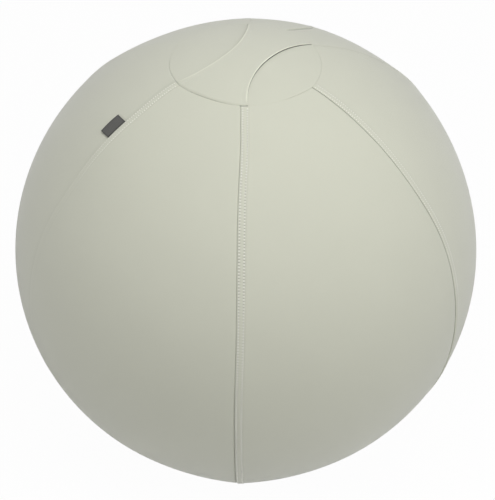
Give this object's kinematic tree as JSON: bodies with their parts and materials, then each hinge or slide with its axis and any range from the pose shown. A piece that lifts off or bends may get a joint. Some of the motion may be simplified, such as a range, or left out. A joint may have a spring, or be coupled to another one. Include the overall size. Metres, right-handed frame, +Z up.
{
  "type": "sitting ball",
  "caption": "Inflatable sitting ball in a sewn fabric cover of gores, with a carry handle over its crown, a side label, a zipped grippy base and ballast inside.",
  "frame": {"origin": "centre of the flat patch that the ball rests on, on the floor", "axes": "+Z up through the crown and the carry handle, -Y to the front, where the front seam faces the viewer"},
  "size_m": [0.65, 0.66, 0.6454],
  "materials": {
    "cover_fabric": "matte",
    "base_fabric": "matte",
    "zip_tape": "matte",
    "zip_teeth": "satin",
    "zip_metal": "satin",
    "label": "matte",
    "bladder": "satin",
    "valve": "satin",
    "ballast": "matte"
  },
  "bodies": {
    "cover": {"gore_right": "cover_fabric", "gore_back_right": "cover_fabric", "gore_back_left": "cover_fabric", "gore_left": "cover_fabric", "gore_front_left": "cover_fabric", "gore_front_right": "cover_fabric", "crown_panel": "cover_fabric", "base_panel": "base_fabric", "zip_tape_outer": "zip_tape", "zip_tape_inner": "zip_tape", "zip_teeth_outer": "zip_teeth", "zip_teeth_inner": "zip_teeth", "zip_stops": "zip_metal", "bladder": "bladder", "valve_seat": "valve", "valve_plug": "valve", "ballast": "ballast"},
    "handle": {"carry_handle": "cover_fabric"},
    "label": {"side_label": "label"},
    "slider": {"zip_slider": "zip_metal"},
    "pull": {"zip_pull": "zip_metal"}
  },
  "joints": [
    {"name": "handle_lift", "type": "slide", "parent": "cover", "child": "handle", "axis": [0, 0, 1], "range_m": [0, 0.03]},
    {"name": "label_flap", "type": "hinge", "parent": "cover", "child": "label", "pos_m": [-0.16164, -0.09332, 0.58586], "axis": [0.719, 0.4151, 0.5575], "range_deg": [0, 95]},
    {"name": "zip_travel", "type": "hinge", "parent": "cover", "child": "slider", "pos_m": [0, 0, 0.31602], "axis": [0, 0, -1], "range_deg": [0, 172], "deforming": ["zip_teeth_outer", "zip_teeth_inner"]},
    {"name": "pull_swing", "type": "hinge", "parent": "slider", "child": "pull", "pos_m": [-0.12504, 0.08377, 0.02673], "axis": [-0.737, 0.4938, 0.4615], "range_deg": [-80, 80]}
  ]
}
